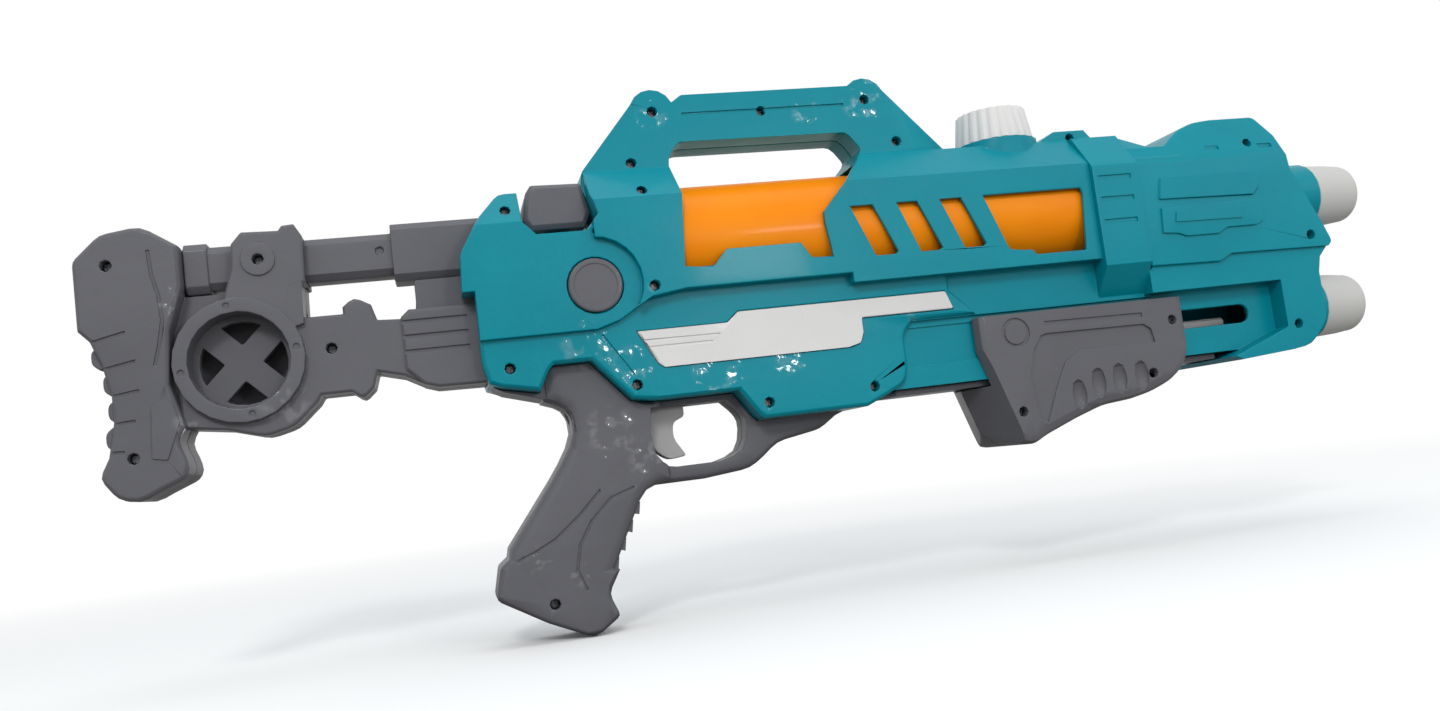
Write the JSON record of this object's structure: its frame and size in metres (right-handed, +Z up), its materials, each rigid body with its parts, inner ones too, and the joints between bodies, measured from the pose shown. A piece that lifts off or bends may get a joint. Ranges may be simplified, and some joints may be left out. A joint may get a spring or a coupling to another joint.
{
  "type": "toy water squirter",
  "caption": "Pump-action toy water squirter: carry handle over a bottle tank with a screw cap, sliding foregrip, sprung trigger, pistol grip, open shoulder stock and front nozzles.",
  "frame": {"origin": "where the hand closes round the pistol grip, on the middle plane", "axes": "+X towards the muzzle, +Y to the user's left, +Z up"},
  "size_m": [0.6258, 0.0676, 0.2432],
  "materials": {
    "teal_plastic": "glossy moulded teal",
    "grey_plastic": "satin moulded dark grey",
    "orange_plastic": "glossy blown orange",
    "white_plastic": "satin moulded white",
    "pale_plastic": "satin moulded pale grey",
    "hose_plastic": "clear soft tube",
    "seal_rubber": "matt black",
    "screw_steel": "zinc plated"
  },
  "bodies": {
    "housing": {"shell_right": "teal_plastic", "shell_left": "teal_plastic", "pivot_disc_left": "grey_plastic", "pivot_disc_right": "grey_plastic", "side_panel_right": "white_plastic", "side_panel_left": "white_plastic", "rear_block": "grey_plastic", "rail_strip": "grey_plastic", "shell_screw_1": "screw_steel", "shell_screw_2": "screw_steel", "shell_screw_3": "screw_steel", "shell_screw_4": "screw_steel", "shell_screw_5": "screw_steel", "shell_screw_6": "screw_steel", "shell_screw_7": "screw_steel", "shell_screw_8": "screw_steel", "shell_screw_9": "screw_steel", "shell_screw_10": "screw_steel", "shell_screw_11": "screw_steel", "shell_screw_12": "screw_steel", "shell_screw_13": "screw_steel", "shell_screw_14": "screw_steel", "shell_screw_15": "screw_steel", "shell_screw_16": "screw_steel", "grip_right": "grey_plastic", "grip_left": "grey_plastic", "grip_screw_1": "screw_steel", "stock_right": "grey_plastic", "stock_left": "grey_plastic", "stock_tube": "grey_plastic", "stock_wheel": "grey_plastic", "stock_screw_1": "screw_steel", "stock_screw_2": "screw_steel", "stock_screw_3": "screw_steel", "stock_screw_4": "screw_steel", "tank": "orange_plastic", "pump_cylinder": "pale_plastic", "cylinder_cap": "pale_plastic", "feed_hose": "hose_plastic", "valve_body": "pale_plastic", "valve_spring": "screw_steel", "delivery_hose": "hose_plastic", "manifold": "pale_plastic", "nozzle_upper": "pale_plastic", "nozzle_lower": "pale_plastic", "trigger_pin": "screw_steel", "trigger_spring": "screw_steel"},
    "pump_handle": {"foregrip_right": "grey_plastic", "foregrip_left": "grey_plastic", "pump_carriage": "grey_plastic", "piston": "white_plastic", "piston_ring": "seal_rubber", "pump_rod": "white_plastic", "foregrip_screw_1": "screw_steel", "foregrip_screw_2": "screw_steel", "foregrip_screw_3": "screw_steel"},
    "trigger": {"trigger": "white_plastic"},
    "plunger": {"valve_plunger": "pale_plastic"},
    "seal": {"cap_seal": "seal_rubber"},
    "cap": {"tank_cap": "white_plastic"}
  },
  "joints": [
    {"name": "pump_slide", "type": "slide", "parent": "housing", "child": "pump_handle", "axis": [1, 0, 0], "range_m": [-0.032, 0.024]},
    {"name": "trigger_pull", "type": "hinge", "parent": "housing", "child": "trigger", "pos_m": [0.037, 0, 0.028], "axis": [0, 1, 0], "range_deg": [0, 14], "stiffness_Nm_per_rad": 0.3, "springref_deg": -11.46, "deforming": ["trigger_spring"]},
    {"name": "valve_push", "type": "slide", "parent": "housing", "child": "plunger", "axis": [1, 0, 0], "range_m": [0, 0.004], "deforming": ["valve_spring"]},
    {"name": "cap_lift", "type": "slide", "parent": "housing", "child": "seal", "axis": [0, 0, 1], "range_m": [0, 0.0121]},
    {"name": "cap_turn", "type": "hinge", "parent": "seal", "child": "cap", "pos_m": [0.224, 0, 0.14], "axis": [0, 0, 1], "range_deg": [0, 1080]}
  ],
  "couplings": [
    {"joint": "valve_push", "follows": "trigger_pull", "m_per_rad": 0.016},
    {"joint": "cap_lift", "follows": "cap_turn", "m_per_rad": 0.00063662}
  ]
}
